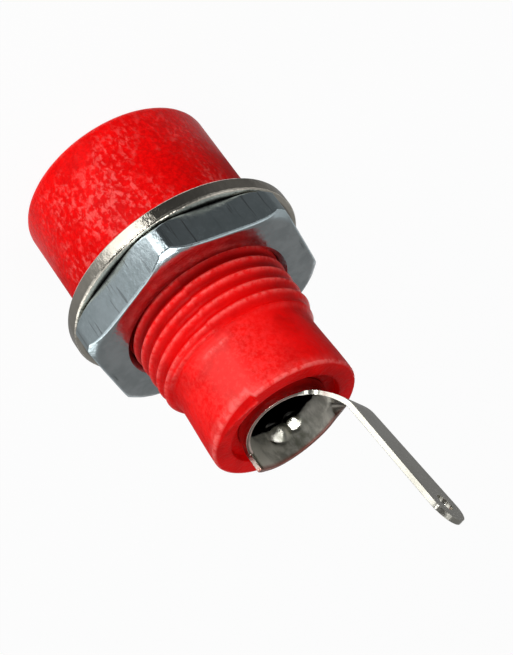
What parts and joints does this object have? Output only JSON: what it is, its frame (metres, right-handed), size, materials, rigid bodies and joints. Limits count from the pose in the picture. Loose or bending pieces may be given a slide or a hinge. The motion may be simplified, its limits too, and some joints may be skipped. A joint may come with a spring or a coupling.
{
  "type": "banana jack",
  "caption": "Panel-mount banana jack: round red insulator with a threaded shank, rolled plated contact with a bent solder tail, flat washer and hex nut.",
  "frame": {"origin": "centre of the flat front face of the head, on the plug's axis; the jack stands on this face", "axes": "+Z along the plug's axis from the front face to the terminals at the rear; +X towards the side that carries the solder tail"},
  "size_m": [0.0122, 0.0122, 0.0248],
  "materials": {
    "red_plastic": "waxy moulded nylon, faintly mottled",
    "contact_nickel": "dull nickel plate on sheet brass",
    "washer_nickel": "warm nickel plate",
    "nut_zinc": "bluish zinc plate, lightly scratched"
  },
  "bodies": {
    "jack": {"insulator_body": "red_plastic", "contact": "contact_nickel"},
    "washer": {"washer": "washer_nickel"},
    "nut": {"hex_nut": "nut_zinc"}
  },
  "joints": [
    {"name": "washer_slide", "type": "slide", "parent": "jack", "child": "washer", "axis": [0, 0, 1], "range_m": [0, 0.00315]},
    {"name": "nut_turn", "type": "hinge", "parent": "washer", "child": "nut", "pos_m": [0, 0, 0.00795], "axis": [0, 0, 1], "range_deg": [0, 1620.01]}
  ],
  "couplings": [
    {"joint": "nut_turn", "follows": "washer_slide", "rad_per_m": 8976}
  ]
}
